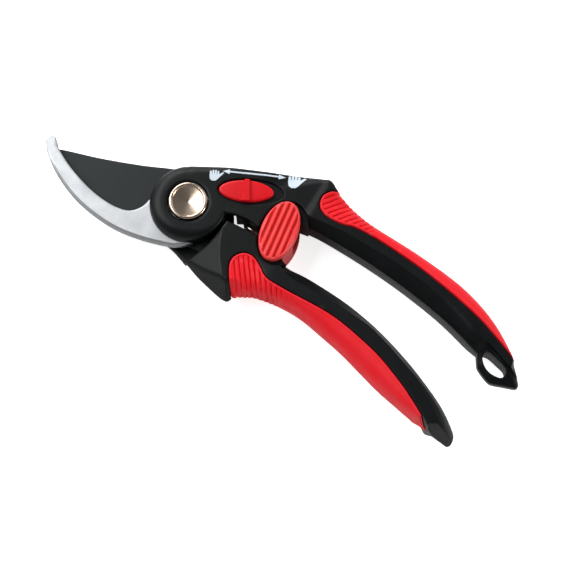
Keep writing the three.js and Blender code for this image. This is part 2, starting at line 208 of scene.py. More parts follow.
def within(points, outline):
    """Which points lie inside a closed outline."""
    a, b = outline, np.roll(outline, -1, axis=0)
    slope = (b[:, 0] - a[:, 0]) / np.where(a[:, 1] == b[:, 1], 1, b[:, 1] - a[:, 1])
    inside = np.zeros(len(points), bool)
    for start in range(0, len(points), CHUNK):
        chunk = points[start : start + CHUNK]
        above = (a[:, 1] > chunk[:, 1:]) != (b[:, 1] > chunk[:, 1:])
        left = chunk[:, :1] < slope * (chunk[:, 1:] - a[:, 1]) + a[:, 0]
        inside[start : start + CHUNK] = (above & left).sum(1) % 2 == 1
    return inside


# ---- heights


def lower_of(a, b, blend):
    """The lower of two heights, with the crease between them softened over blend."""
    share = np.clip(0.5 + (b - a) / (2 * blend), 0, 1)
    return b + (a - b) * share - blend * share * (1 - share)


def rounded(far, radius, drop=None):
    """What a rounded edge takes off the height, at some distance from the edge."""
    t = np.clip(1 - far / radius, 0, 1)
    return (radius if drop is None else drop) * (1 - np.sqrt(1 - t * t))


def step_between(low, high, value):
    """0 below low, 1 above high, and a smooth change between."""
    t = np.clip((value - low) / (high - low), 0, 1)
    return t * t * (3 - 2 * t)


def level(height):
    """The height of a face that is level."""
    return lambda points: np.full(len(points), height)


def beside_edge(radius, count):
    """Distances from an edge that follow its rounding evenly."""
    return [radius * (1 - math.cos(math.pi / 2 * (i + 1) / count)) for i in range(count)]


# ---- meshes


def make(name, vertices, faces, body, node, slot, material):
    mesh = bpy.data.meshes.new(name)
    mesh.from_pydata((np.asarray(vertices) * MM).tolist(), [], faces)
    mesh.validate()
    mesh.shade_smooth()
    mesh.set_sharp_from_angle(angle=math.radians(SHARP_ANGLE))
    mesh.materials.append(material)
    piece = bpy.data.objects.new(name, mesh)
    bpy.context.scene.collection.objects.link(piece)
    if body:
        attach(piece, body)
    if node:
        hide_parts(*([node] if isinstance(node, str) else node))
    return piece


def tree_of(points):
    tree = KDTree(len(points))
    for i, (x, y) in enumerate(points):
        tree.insert((x, y, 0), i)
    tree.balance()
    return tree


def triangulate(outlines, lines, rows, inside, size, dense=None):
    """Fills the plane where inside() is true with triangles whose edges follow the outlines and lines.

    Rows are (line, closed, distances): points are added beside the line at those distances."""
    fixed, edges = [], []
    for line, closed in [(o, True) for o in outlines] + [(o, False) for o in lines]:
        first = sum(len(f) for f in fixed)
        count = len(line)
        fixed.append(line)
        edges += [(first + i, first + i + 1) for i in range(count - 1)]
        if closed:
            edges.append((first + count - 1, first))
    fixed = np.vstack(fixed)
    near = tree_of(fixed)
    kept = []
    taken = set()
    for line, closed, distances in rows:
        for far in distances:
            for side in (far, -far):
                row = beside(line, side, closed)
                row = row[inside(row)]
                if not len(row):
                    continue
                row = row[distance(row, line, closed) > 0.96 * far]
                for x, y in row:
                    cell = (round(x / 0.11), round(y / 0.11))
                    if cell not in taken and near.find((x, y, 0))[2] > min(0.7 * far, 0.12):
                        taken.add(cell)
                        kept.append((x, y))
    low, high = fixed.min(0), fixed.max(0)
    settled = tree_of(list(fixed) + kept)

    def grid_points(size, wanted):
        height = size * math.sqrt(3) / 2
        grid = []
        for j in range(int((high[1] - low[1]) / height) + 1):
            xs = np.arange(low[0] + (j % 2) * size / 2, high[0], size)
            grid.append(np.column_stack([xs, np.full(len(xs), low[1] + j * height)]))
        grid = np.vstack(grid)
        grid = grid[wanted(grid)]
        grid = grid[inside(grid)]
        return [(x, y) for x, y in grid if settled.find((x, y, 0))[2] > 0.55 * size]

    if dense:
        zone, fine_size = dense
        grid = grid_points(size, lambda p: ~zone(p)) + grid_points(fine_size, zone)
    else:
        grid = grid_points(size, lambda p: np.ones(len(p), bool))
    points = [Vector(p) for p in fixed.tolist() + kept + grid]
    found = delaunay_2d_cdt(points, edges, [], 0, 1e-5)
    flat = np.array([tuple(v) for v in found[0]])
    triangles = np.array([tuple(f) for f in found[2] if len(f) == 3])
    centres = flat[triangles].mean(1)
    triangles = triangles[inside(centres)]
    used, index = np.unique(triangles, return_inverse=True)
    return flat[used], index.reshape(-1, 3)


def plate(name, outlines, top, bottom, inside=None, lines=(), rows=(), size=0.5, dense=None, **info):
    """A closed body between two heights over a region of the plane."""
    if inside is None:
        outer, holes = outlines[0], outlines[1:]

        def inside(points):
            return within(points, outer) & ~np.any([within(points, h) for h in holes] or [[False]], axis=0)

    flat, triangles = triangulate(outlines, lines, rows, inside, size, dense)
    high, low = top(flat), bottom(flat)
    count = len(flat)
    vertices = [np.column_stack([flat, high]), np.column_stack([flat, low])]
    faces = triangles.tolist() + (triangles[:, ::-1] + count).tolist()
    directed = np.vstack([triangles[:, [0, 1]], triangles[:, [1, 2]], triangles[:, [2, 0]]])
    known = set(map(tuple, directed.tolist()))
    rim = [(a, b) for a, b in known if (b, a) not in known]
    rim.sort()
    faces += [(a + count, b + count, b, a) for a, b in rim]
    return make(name, np.vstack(vertices), faces, **info)


def turned(name, profile, **info):
    """A closed body of revolution about the pivot. The profile starts and ends on the axis."""
    segments = 96
    vertices, rings = [], []
    for r, z in profile:
        count = segments if r > 0 else 1
        rings.append([len(vertices) + k % count for k in range(segments + 1)])
        for k in range(count):
            a = 2 * math.pi * k / segments
            vertices.append((r * math.cos(a), r * math.sin(a), z))
    faces = []
    for ring, following in zip(rings, rings[1:]):
        for k in range(segments):
            corners = (ring[k], ring[k + 1], following[k + 1], following[k])
            faces.append(list(dict.fromkeys(corners)))
    return make(name, vertices, faces, **info)


# ---- materials


def linear(red, green, blue):
    """A colour given as it is seen on a screen, 0 to 255, as light."""
    tones = [((c / 255 + 0.055) / 1.055) ** 2.4 if c > 10 else c / 3295 for c in (red, green, blue)]
    return (*tones, 1)


def grey(value):
    return (value, value, value, 1)


class Nodes:
    """Puts a material's nodes together."""

    def __init__(self, name):
        self.material = bpy.data.materials.new(name)
        self.material.use_nodes = True
        self.tree = self.material.node_tree
        self.shader = self.tree.nodes["Principled BSDF"]
        self.place = self.add("ShaderNodeTexCoord").outputs["Object"]

    def add(self, kind, **values):
        node = self.tree.nodes.new(kind)
        for key, value in values.items():
            if hasattr(node, key):
                setattr(node, key, value)
            else:
                node.inputs[key.replace("_", " ")].default_value = value
        return node

    def link(self, output, node, socket):
        self.tree.links.new(output, node.inputs[socket])

    def noise(self, scale_mm, detail=2.0, roughness=0.5, stretch=None):
        """Noise whose grains are about scale_mm across. Stretch is the angle and the scale of streaks."""
        source = self.place
        if stretch:
            rotation = (0, 0, math.radians(stretch[0]))
            mapping = self.add("ShaderNodeMapping", Rotation=rotation, Scale=(stretch[1], 1, 1))
            self.link(source, mapping, "Vector")
            source = mapping.outputs[0]
        node = self.add("ShaderNodeTexNoise", Scale=1 / (scale_mm * MM), Detail=detail, Roughness=roughness)
        self.link(source, node, "Vector")
        return node.outputs["Fac"]

    def ramp(self, value, stops):
        node = self.add("ShaderNodeValToRGB")
        while len(node.color_ramp.elements) < len(stops):
            node.color_ramp.elements.new(0.5)
        for element, (position, colour) in zip(node.color_ramp.elements, stops):
            element.position = position
            element.color = colour
        self.link(value, node, "Fac")
        return node.outputs["Color"]

    def spread(self, value, low, high, start=0.0, end=1.0):
        """A value that runs from start to end, made to run from low to high."""
        node = self.add("ShaderNodeMapRange", From_Min=start, From_Max=end, To_Min=low, To_Max=high)
        self.link(value, node, "Value")
        return node.outputs["Result"]

    def mix(self, share, a, b, blend="MIX"):
        node = self.add("ShaderNodeMix", data_type="RGBA", blend_type=blend)
        for value, socket in ((share, 0), (a, 6), (b, 7)):
            if isinstance(value, bpy.types.NodeSocket):
                self.tree.links.new(value, node.inputs[socket])
            else:
                node.inputs[socket].default_value = value
        return node.outputs[2]

    def bump(self, height, depth_mm, strength=1.0, under=None):
        node = self.add("ShaderNodeBump", Strength=strength, Distance=depth_mm * MM)
        self.link(height, node, "Height")
        if under:
            self.link(under, node, "Normal")
        return node.outputs["Normal"]

    def edges(self, low=0.54, high=0.66):
        """1 on the outer edges of the mesh, 0 elsewhere."""
        geometry = self.add("ShaderNodeNewGeometry")
        return self.spread(geometry.outputs["Pointiness"], 0, 1, low, high)

    def maths(self, operation, *values):
        node = self.add("ShaderNodeMath", operation=operation)
        for socket, value in enumerate(values):
            self.link(value, node, socket)
        return node.outputs[0]

    def upward(self, vector):
        """The Z part of a vector."""
        node = self.add("ShaderNodeSeparateXYZ")
        self.link(vector, node, 0)
        return node.outputs["Z"]

    def facing_up(self):
        return self.upward(self.add("ShaderNodeNewGeometry").outputs["Normal"])

    def level_below(self, height_mm):
        """1 on level faces up to about 1 mm below a height, 0 elsewhere: where groove floors get painted
        shade.
        """
        height = self.upward(self.place)
        low = self.spread(height, 1, 0, (height_mm - 0.25) * MM, height_mm * MM)
        near = self.spread(height, 0, 1, (height_mm - 1.2) * MM, (height_mm - 1.0) * MM)
        level = self.spread(self.facing_up(), 0, 1, 0.84, 0.92)
        return self.maths("MULTIPLY", self.maths("MULTIPLY", low, near), level)

    def set(self, **values):
        for key, value in values.items():
            socket = self.shader.inputs[key.replace("_", " ")]
            if isinstance(value, bpy.types.NodeSocket):
                self.tree.links.new(value, socket)
            else:
                socket.default_value = value
        return self.material


def moulded(
    name, colour, pale, grain_mm, grain_depth, rough, coat=0.0, shine=0.35, hollow_shade=None, shade_below_height=None
):
    """Injection-moulded plastic or rubber with a fine spark-eroded grain.

    Pale is its colour on outer edges, partly wear and partly a painted edge highlight; deep is a painted
    shade in hollows, or on level faces under a height."""
    n = Nodes(name)
    cloud = n.noise(9, 3)
    base = n.ramp(cloud, [(0.3, colour), (0.75, tuple(0.8 * c + 0.2 * p for c, p in zip(colour, pale)))])
    # paler outer edges: edge wear, and a painted edge highlight
    wear_and_painted_light = n.mix(n.edges(), base, pale)
    # painted shade: hollows darkened where pointiness is low
    if hollow_shade:
        wear_and_painted_light = n.mix(n.edges(0.49, 0.42), wear_and_painted_light, hollow_shade)
    # painted shade on level groove floors under a height
    if shade_below_height:
        wear_and_painted_light = n.mix(n.level_below(shade_below_height), wear_and_painted_light, hollow_shade)
    grain = n.noise(grain_mm, 3, 0.6)
    flow = n.noise(1.6, 2)
    normal = n.bump(flow, 0.02, 0.35)
    normal = n.bump(grain, grain_depth, 0.6, normal)
    roughness = n.spread(grain, rough - 0.06, rough + 0.06, 0.3, 0.7)
    n.set(Base_Color=wear_and_painted_light, Roughness=roughness, Normal=normal, Specular_IOR_Level=shine)
    return n.set(Coat_Weight=coat, Coat_Roughness=0.25)


def steel(name, colour, rough, streaks, streak_angle=0, grain_mm=0.2, grain=0.0, metal=1.0, side=1.0):
    """Bare or coated steel, with ground streaks or a blasted grain. Side is how dark its sides are painted: a
    painted shade on faces that are not level.
    """
    n = Nodes(name)
    lines = n.noise(0.25, 2, 0.6, (streak_angle, 0.04))
    grains = n.noise(grain_mm, 2, 0.7)
    cloud = n.noise(7, 2)
    dark = tuple(c * 0.86 for c in colour[:3]) + (1,)
    base = n.ramp(cloud, [(0.35, dark), (0.65, colour)])
    sparkle = n.ramp(grains, [(0.35, grey(0.88)), (0.65, grey(1))])
    base = n.mix(1.0, base, sparkle, "MULTIPLY")
    # painted shade: faces that don't face up or down are darkened
    if side < 1:
        level = n.maths("ABSOLUTE", n.facing_up())
        shade = n.ramp(level, [(0.5, grey(side)), (0.85, grey(1))])
        base = n.mix(1.0, base, shade, "MULTIPLY")
    normal = n.bump(lines, 0.02, streaks)
    normal = n.bump(grains, 0.02, grain, normal)
    roughness = n.spread(lines, rough - 0.4 * streaks, rough + 0.5 * streaks, 0.3, 0.7)
    return n.set(Base_Color=base, Metallic=metal, Roughness=roughness, Normal=normal)


# pale colours: edge wear and painted edge highlights; deep colours: painted shade in hollows and on groove
# floors
BLACK_NYLON = moulded("black_nylon", linear(11, 13, 14), linear(34, 38, 40), 0.16, 0.03, 0.38, shine=0.2)
RED_GRIP = moulded(
    "red_soft_grip", linear(240, 22, 36), linear(246, 70, 80), 0.2, 0.03, 0.5, shine=0.24,
    hollow_shade=linear(200, 10, 22),
)
RED_SLIDER = moulded(
    "red_slider", linear(216, 10, 24), linear(240, 50, 58), 0.3, 0.012, 0.36, coat=0.1, shine=0.25,
    hollow_shade=linear(190, 12, 22),
)
RED_LOCK = moulded(
    "red_lock", linear(250, 62, 64), linear(254, 120, 112), 0.3, 0.012, 0.4, coat=0.1,
    hollow_shade=linear(208, 8, 14), shade_below_height=FRONT_PAD[1] - 0.55,
)
# the hook's steel gets a painted shade on its sides (side=0.6)
SATIN_STEEL = steel(
    "satin_steel", linear(204, 207, 210), 0.5, 0.1, streak_angle=20, grain_mm=0.16, grain=0.45, side=0.6
)
COATED_STEEL = steel("coated_steel", linear(22, 29, 32), 0.5, 0.05, grain_mm=0.18, grain=0.3, metal=0.3)
POLISHED_STEEL = steel("polished_steel", linear(226, 205, 184), 0.23, 0.004)
PLAIN_STEEL = steel("plain_steel", linear(176, 174, 170), 0.34, 0.2)
SPRING_STEEL = steel("spring_steel", linear(196, 188, 176), 0.26, 0.1)


def print_material():
    """Pad-printed white ink, a little uneven."""
    n = Nodes("pad_print")
    speckle = n.noise(0.25, 3, 0.6)
    base = n.ramp(speckle, [(0.3, linear(196, 210, 222)), (0.6, linear(214, 226, 236))])
    roughness = n.spread(speckle, 0.42, 0.56)
    return n.set(Base_Color=base, Roughness=roughness, Normal=n.bump(speckle, 0.01, 0.4))


PRINT = print_material()


# ---- upper handle

U_TOP = smooth([
    [-7.9, 13.4], [-1.5, 16.8], [6.1, 20.6], [14, 24.0], [22, 27.5], [32, 32.1], [43.0, 36.7],
])
U_CORNER = smooth([[43.0, 36.7], [44.7, 36.3], [46.3, 35.5], [47.8, 34.6], [49.8, 34]])
U_OUTER = smooth([
    [49.8, 34], [58, 31.6], [68, 29.9], [89, 28.9], [109, 26.5], [125, 21.4], [137, 14.3], [147.4, 4.2],
])
U_TAIL = smooth([
    [147.4, 4.2], [147.6, 3.1], [146.8, 2.2], [142.5, 0.6], [138.6, -0.8], [136.6, -0.9], [133.2, 0.4],
    [130.4, 2.0], [128.9, 4.2], [127.6, 6.3],
])
U_INNER = smooth([
    [127.6, 6.3], [124.5, 7.0], [108, 11.4], [88, 14.5], [69, 16], [51, 16.3], [42.4, 15.3],
])
U_UNDER = smooth([[42.4, 15.3], [36, 9.7], [29.2, 5.2]])
U_SLOT = smooth([[29.2, 5.2], [25.1, 5.6], [20.8, 5.2], [17.4, 4.4], [15.1, 3.4]])
U_HUB = arc(HUB_RADIUS, 12.7, -239.5)
U_BOUND = smooth([
    [50.6, 37.6], [48.4, 34.2], [46, 31.9], [44.5, 29.4], [44.7, 26.6], [46.1, 24.2], [48.8, 22.8],
    [52, 22.4], [57.2, 22.9], [61, 24.1], [66.5, 24.6], [73.2, 24.6], [82.6, 24], [92.1, 23.1],
    [102, 21.6], [112, 19.7], [122.3, 17.2], [133.4, 13.6], [139.8, 11.0], [144.0, 8.6],
])
U_CREST = smooth([
    [44.3, 19.2], [50, 19.8], [59.5, 20.7], [63.7, 20.6], [79.9, 20.4], [94.3, 19.1], [108.9, 16.9],
    [118, 14.7], [126, 12.2],
])
U_CHAMFER = np.array([[32.1, 24.6], [44.6, 35.4]])
U_HOLE = smooth([
    [130.1, 8.5], [132.3, 8.7], [135.9, 7.9], [139.4, 6.8], [140.8, 5.4], [140.8, 3.6], [139.5, 2.5],
    [136.2, 2.2], [133, 3.2], [130.9, 4.9], [129.9, 6.7], [130.1, 8.5],
])[:-1]
U_EDGE = np.vstack([U_TOP, U_CORNER])
U_INSIDE = np.vstack([U_TAIL, U_INNER])
RIDGE = 19.8  # height of the crest along the handle
U_FACET_LOW = 15.2
U_CREST_CUT = 24  # points at the crest's faint end that no triangles follow
CORE = (8.8, 11.2)


def back_cut(inset):
    """Where only the front layer of the upper head stands: round the pivot, and over the slot beside it."""
    radius = HUB_RADIUS + 2.3 - inset
    notch = [[16.2 - inset, 9.6 - inset], [18.3 - inset, 6.2 - inset]]
    notch += [[20.9, 7.6 - inset], [23.6 - inset, 3.0]]
    return loop(arc(radius, 78, 34), notch, [[15, 0], [-40, 0], [-40, 30], [0, 30]])


BACK_CUT_MID = back_cut(0.05)


def ribs(points, origin, angle, pitch, depth):
    """A row of flat-topped ribs with narrow grooves between them. Angle is their direction."""
    phase = ((points - origin) @ unit(angle + 90)) / pitch
    near = np.abs(phase - np.round(phase))
    return -depth * (0.65 * step_between(0.26, 0.48, near) + 1.4 * near * near)


U_RIB = {"origin": (50.1, 33.1), "angle": 56, "pitch": 2.03, "depth": 0.7}
L_RIB = {"origin": (33.3, -19.9), "angle": 127, "pitch": 1.92, "depth": 0.7}
RIB_SIDES = (-0.45, -0.27, -0.12, 0, 0.12, 0.27, 0.45)  # across a groove, from its middle
RIB_REACH = 40


def upper_rib_zone(points):
    return (1 - step_between(66.5, 70.5, points[:, 0])) * step_between(43, 46, points[:, 0])


def serrated(line, rib, zone, outward):
    """The outline where the ribs reach it."""
    fine = evenly(line, 0.25)
    along = np.gradient(fine, axis=0)
    along /= np.hypot(*along.T)[:, None]
    normal = np.column_stack([-along[:, 1], along[:, 0]]) * outward
    phase = ((fine - rib["origin"]) @ unit(rib["angle"] + 90)) / rib["pitch"]
    move = -0.85 * (2 * (phase - np.round(phase))) ** 2 * zone(fine)
    return fine + normal * move[:, None]


U_OUTER_CUT = serrated(U_OUTER, U_RIB, upper_rib_zone, 1)
UPPER = loop(U_TOP, U_CORNER, U_OUTER_CUT, U_TAIL, U_INNER, U_UNDER, U_SLOT, U_HUB)
UPPER_RED = loop(U_BOUND, [[170, -5], [170, 60], [50, 60]], step=2)


def room(long, short, at, angle):
    """A recess for a part that slides: its rim, the foot of its wall, and a line between them."""
    return [oval(long - inset, short - inset, at, angle) for inset in (0, 0.25, 0.12)]


PAD_ROOM, PAD_ROOM_FLOOR, PAD_ROOM_MID = room(
    PAD_LONG + PAD_GAP, PAD_SHORT + PAD_GAP + LOCK_TRAVEL / 2,
    np.array(PAD_AT) + unit(LOCK_ANGLE) * LOCK_TRAVEL / 2, PAD_ANGLE,
)
SLIDER_ROOM, SLIDER_ROOM_FLOOR, SLIDER_ROOM_MID = room(
    SLIDER_LENGTH / 2 + SLIDER_TRAVEL / 2 + 0.5, SLIDER_WIDTH / 2 + 0.75,
    np.array(SLIDER_AT) + unit(SLIDER_ANGLE) * SLIDER_TRAVEL / 2, SLIDER_ANGLE,
)
PAD_FLOOR = FRONT_PAD[0] - 0.3
REAR_PAD_ROOF = REAR_PAD[1] + 0.3


def facet(points, far, crest, side, low, high, fade):
    """The height of a band: level outside its crest, and falling to low towards the edge that is far away.

    The crest is sharp where x is under the first value of fade, and soft beyond the second."""
    below = np.clip(side * distance(points, crest, signed=True), 0, None)
    share = below / (below + far + 1e-6)
    soft = 1 + 0.9 * step_between(*fade, points[:, 0])
    return high - (high - low) * share**soft


def upper_surface(points):
    """The height of the upper handle's face, before its edges and recesses."""
    inner = distance(points, U_INSIDE)
    tail = step_between(120, 134, points[:, 0])
    band = facet(points, inner, U_CREST, -1, U_FACET_LOW - 3.2 * tail, RIDGE - 1.6 * tail, (95, 125))
    outer = distance(points, U_OUTER)
    band = lower_of(band, 13.8 + 1.2 * outer + 14 * (1 - step_between(137, 143, points[:, 0])), 0.9)
    head = 1 - step_between(41, 45, points[:, 0])
    height = FACE * head + band * (1 - head)
    chamfer = U_CHAMFER[1] - U_CHAMFER[0]
    left = np.array([-chamfer[1], chamfer[0]]) / np.hypot(*chamfer)
    past = (points - U_CHAMFER[0]) @ left
    past = np.where(past < 1.6, np.clip(past, 0, None) ** 2 / 3.2, past - 0.8)
    fall = 0.42 * past * step_between(20, 36, points[:, 0]) * (1 - step_between(46, 50, points[:, 0]))
    return height - fall


def upper_top(points):
    height = upper_surface(points)
    radius, angle = np.hypot(*points.T), np.degrees(np.arctan2(points[:, 1], points[:, 0]))
    turn = np.where(angle > 90, angle - 360, angle)
    hub = 5.2 - 4.2 * step_between(-75, 5, turn)
    hub_drop = rounded(distance(points, U_HUB), hub, hub * 0.86)
    top_round = 5.0 - 2.8 * step_between(-8, 14, points[:, 0])
    top_drop = rounded(distance(points, U_EDGE), top_round, top_round * 0.8)
    height -= np.maximum(hub_drop, top_drop)
    height -= rounded(distance(points, np.vstack([U_UNDER, U_SLOT])), 0.6)
    height -= rounded(distance(points, U_INSIDE), 0.5)
    height -= rounded(distance(points, U_HOLE, True), 0.5)
    outer = distance(points, U_OUTER)
    height -= rounded(outer, 0.8) * step_between(132, 141, points[:, 0])
    height -= rounded(outer, 1.6) * (1 - step_between(50, 52, points[:, 0]))
    height -= rounded(np.abs(distance(points, U_BOUND)) - GROOVE, 0.45)
    lip = rounded(radius - SEAT_RADIUS, 0.9, 0.5)
    height -= np.where(radius < 12, lip, 0)
    rooms = ((SLIDER_ROOM, SLIDER_ROOM_MID, SLIDER_FLOOR), (PAD_ROOM, PAD_ROOM_MID, PAD_FLOOR))
    for rim, mid, floor in rooms:
        drop = rounded(distance(points, rim, True), 0.35)
        height = np.where(within(points, mid), floor, height - drop)
    return height


def upper_bottom(points):
    height = THICKNESS - upper_surface(points)
    height += rounded(distance(points, np.vstack([U_OUTER, U_TAIL, U_INNER, U_UNDER, U_SLOT])), 0.7)
    height += rounded(distance(points, U_EDGE), 2.2)
    height += rounded(distance(points, U_HOLE, True), 0.6)
    height += rounded(distance(points, U_BOUND) - GROOVE, 0.45)
    height = np.where(within(points, PAD_ROOM_MID), REAR_PAD_ROOF, height)
    thin = FRONT_HUB + 2.8 * (1 - step_between(1.6, 2.6, distance(points, U_SLOT)))
    return np.where(within(points, BACK_CUT_MID), thin, height)


def back_cut_lines():
    """The two edges of the step round the back cut, as far as they lie in the head."""
    lines = [back_cut(inset)[:70] for inset in (0, 0.1)]
    return [line[within(line, UPPER) & (line[:, 1] > 4.2)] for line in lines]


def make_upper_handle():
    seat = circle(SEAT_RADIUS)

    def inside(points):
        red = within(points, UPPER_RED) | (distance(points, U_BOUND) < GROOVE * 0.999)
        hole = within(points, U_HOLE) | (np.hypot(*points.T) < SEAT_RADIUS * 0.9999)
        return within(points, UPPER) & ~red & ~hole

    fine = beside_edge(0.6, 3)
    lines = [beside(U_BOUND, -GROOVE), *back_cut_lines(), U_CREST[:-U_CREST_CUT]]
    rooms = [SLIDER_ROOM, SLIDER_ROOM_FLOOR, PAD_ROOM, PAD_ROOM_FLOOR]
    rows = [
        (U_HUB, False, beside_edge(5.2, 9)),
        (U_EDGE, False, beside_edge(2.2, 5)),
        *((line, False, fine) for line in (U_SLOT, U_UNDER, U_INNER, U_TAIL)),
        (U_OUTER, False, beside_edge(3.5, 5)),
        (U_HOLE, True, fine), (U_BOUND, False, [GROOVE + d for d in beside_edge(0.45, 3)]),
        (seat, True, beside_edge(1.6, 4)),
        (SLIDER_ROOM, True, beside_edge(0.35, 3)), (PAD_ROOM, True, beside_edge(0.35, 3)),
        (U_CREST, False, [0.3]),
    ]
    plate(
        "upper_handle_shell", [UPPER, seat, U_HOLE] + rooms, upper_top, upper_bottom, inside, lines, rows,
        dense=(lambda p: p[:, 0] > 124, 0.28),  # the tail, round the hanging hole
        body="upper_handle", node="upper_handle_body", slot="black_nylon", material=BLACK_NYLON,
    )


def rib_lines(rib, inside, offsets, reach):
    """Lines along the sides and the bottoms of the ribs' grooves, as far as they lie inside."""
    along, across = unit(rib["angle"]), unit(rib["angle"] + 90)
    steps = np.arange(-reach, reach, 0.3)[:, None]
    lines = []
    for groove in np.arange(-20, 20) + rib.get("phase", 0.5):
        for offset in offsets:
            line = rib["origin"] + across * (groove * rib["pitch"] + offset) + along * steps
            kept = inside(line)
            starts = np.flatnonzero(np.diff(np.r_[False, kept].astype(int)) == 1)
            ends = np.flatnonzero(np.diff(np.r_[kept, False].astype(int)) == -1) + 1
            lines += [line[a:b] for a, b in zip(starts, ends) if b - a > 2]
    return lines


def make_core(name, outline, bound, x_range, body):
    """The nylon core under the groove between a handle and its soft grip."""
    line = bound[(bound[:, 0] > x_range[0]) & (bound[:, 0] < x_range[1])]
    strip = loop(beside(line, 0.7), beside(line, -0.7)[::-1])

    def inside(points):
        return within(points, strip) & within(points, outline) & (distance(points, outline, True) > 1.1)

    plate(
        name, [strip], level(CORE[1]), level(CORE[0]), inside, size=0.4,
        body=body, node=None, slot="black_nylon", material=BLACK_NYLON,
    )


def make_grip(name, outline, red, bound, side, outer, rib, zone, rib_end, height, edges, **info):
    """A soft grip: a full round section from its boundary with the nylon to the handle's outer side.

    Side is the boundary's side it lies on. Outer is the handle's outer side, without its ribs and with
    them. Height is of the crown, and edges are the heights of front and back at the outer side."""

    def inside(points):
        return within(points, outline) & within(points, red) & (distance(points, bound) > GROOVE * 0.999)

    def ribbed(points):
        apart = np.minimum(distance(points, bound) - GROOVE, distance(points, outer[1]))
        return inside(points) & (points[:, 0] < rib_end) & (apart > 0.2)

    def section(points, front):
        far, near = distance(points, outer[0]), np.clip(distance(points, bound) - GROOVE, 0, None)
        u = far / (far + near + 1e-6)
        bulge = np.sqrt(np.clip(1 - (1 - u) ** 2, 0, 1)) ** 0.72
        grooves = ribs(points, **rib) * zone(points) * step_between(0.6, 1.3, near)
        high = height(points)
        if front:
            rim = 0.25 * np.exp(-(((near - 0.6) / 0.4) ** 2)) - rounded(near, 0.4)
            return edges[0] + (high - edges[0]) * bulge + rim + grooves
        return edges[1] + (THICKNESS - high - edges[1]) * bulge + rounded(near, 0.4) - grooves

    rows = [
        (outer[0], False, beside_edge(4, 8)),
        (bound, False, [GROOVE + d for d in beside_edge(0.4, 3)] + [0.85, 1.1, 1.5]),
    ]
    lines = [beside(bound, side * GROOVE), *rib_lines(rib, ribbed, RIB_SIDES, RIB_REACH)]
    plate(
        name, [outline], lambda p: section(p, True), lambda p: section(p, False), inside, lines, rows,
        slot="red_soft_grip", material=RED_GRIP, **info,
    )


def make_upper_grip():
    def height(points):
        return lower_of(upper_surface(points) + 0.1, 17.4 + 1.2 * distance(points, U_CORNER), 0.6)

    make_grip(
        "upper_grip_soft", UPPER, UPPER_RED, U_BOUND, 1, (U_OUTER, U_OUTER_CUT), U_RIB, upper_rib_zone, 70,
        height, (11.5, 8.5), body="upper_handle", node="upper_grip_insert",
    )


# ---- lower handle

L_SLOT = smooth([[17.1, 1.2], [22, 1.7], [30, 2]])
L_CROTCH = smooth([[30, 2], [38, 0.6], [45, -1.6]])
L_INNER = smooth([
    [45, -1.6], [48.1, -2.0], [56, -1.5], [70, -2], [80.6, -3.3], [91, -5.5], [101.8, -8.7],
    [113, -12.9], [126, -19], [134.6, -25.2], [136.4, -28.2], [136.3, -30.1],
])
L_END = smooth([[136.3, -30.1], [135.4, -30.9], [134, -30.8]])
L_OUTER = smooth([
    [134, -30.8], [128, -30.1], [120, -28.7], [103, -25.7], [92.4, -22.9], [82, -20], [71.2, -17.8],
    [61, -16], [52, -15.9], [43.4, -17.3], [39.6, -18.6], [36.1, -20.8], [34, -23.2],
])
L_HEEL = smooth([
    [34, -23.2], [33.4, -24.7], [32.2, -25.4], [29.4, -25.3], [25.0, -24.4], [18.0, -22.7],
    [10.6, -20.1],
])
L_HUB_SIDE = smooth([
    [10.6, -20.1], [12.0, -17.3], [13.5, -14.2], [15.1, -10.4], [16.2, -6.2], [16.9, -1.6], [17.1, 1.2],
])
L_BOUND = smooth([
    [35.4, -26], [35.0, -24.3], [31.5, -20.4], [28.3, -15.6], [27, -12.4], [27.4, -9.4], [29.4, -6.9],
    [32.2, -5.9], [35.1, -6.4], [38.2, -8.1], [41, -10], [44.6, -11], [53.4, -11], [66.7, -10.5],
    [76, -11], [86, -12.8], [96.4, -15.4], [108, -19.9], [114, -22.8], [120.6, -26.4], [126.5, -30.3],
    [128.5, -31.9],
])
L_CREST = smooth([
    [46.6, -4.6], [51, -6], [59.5, -5.8], [71.3, -6], [79.7, -6.4], [89, -7.5], [102.2, -11.6],
    [113.8, -16.4], [121, -20.2], [128, -25.5], [131, -29.5],
])
L_CREASE = smooth([[16.1, 0.6], [19.1, -6.9], [22.1, -12.3], [25.8, -17.2], [29.6, -22], [33.2, -26.4]])
L_NECK_LEFT = smooth([[-2.5, -16.5], [4, -17.8], [10.6, -20.1]])

LOWER = loop(L_SLOT, L_CROTCH, L_INNER, L_END, L_OUTER, L_HEEL, L_HUB_SIDE)
BACK_HUB_RADIUS = 16.7
BACK_CORNER = [[16.3, 7.4], [19.3, 2.4], [19.8, 1.45]]
LOWER_WHOLE = loop(
    L_SLOT[6:], L_CROTCH, L_INNER, L_END, L_OUTER, L_HEEL, L_NECK_LEFT[::-1],
    arc(BACK_HUB_RADIUS, -98.5, -335), BACK_CORNER,
)
LOWER_RED = loop(L_BOUND, [[128.5, -60], [35.4, -60]], step=2)
L_RIDGE = 19.2
L_FACET_LOW = 13.4
BACK_LAYER = (1.0, 6.5)
NUT_ROOM = 8.0
L_STEP = beside(L_HUB_SIDE, 0.2)
LOWER_FRONT_MID = loop(
    beside(L_HUB_SIDE, 0.08), beside(L_SLOT[:7], 0.08),
    [[20.5, 3], [30, 3], [200, 3], [200, -60], [11.3, -60]], step=2,
)
L_TIP = np.vstack([L_END, L_OUTER[:12]])  # the end, and the last of the outer side
L_TOP_SIDE = np.vstack([L_SLOT, L_CROTCH])


def lower_rib_zone(points):
    return 1 - step_between(49, 53, points[:, 0])


L_OUTER_CUT = serrated(L_OUTER, L_RIB, lower_rib_zone, 1)


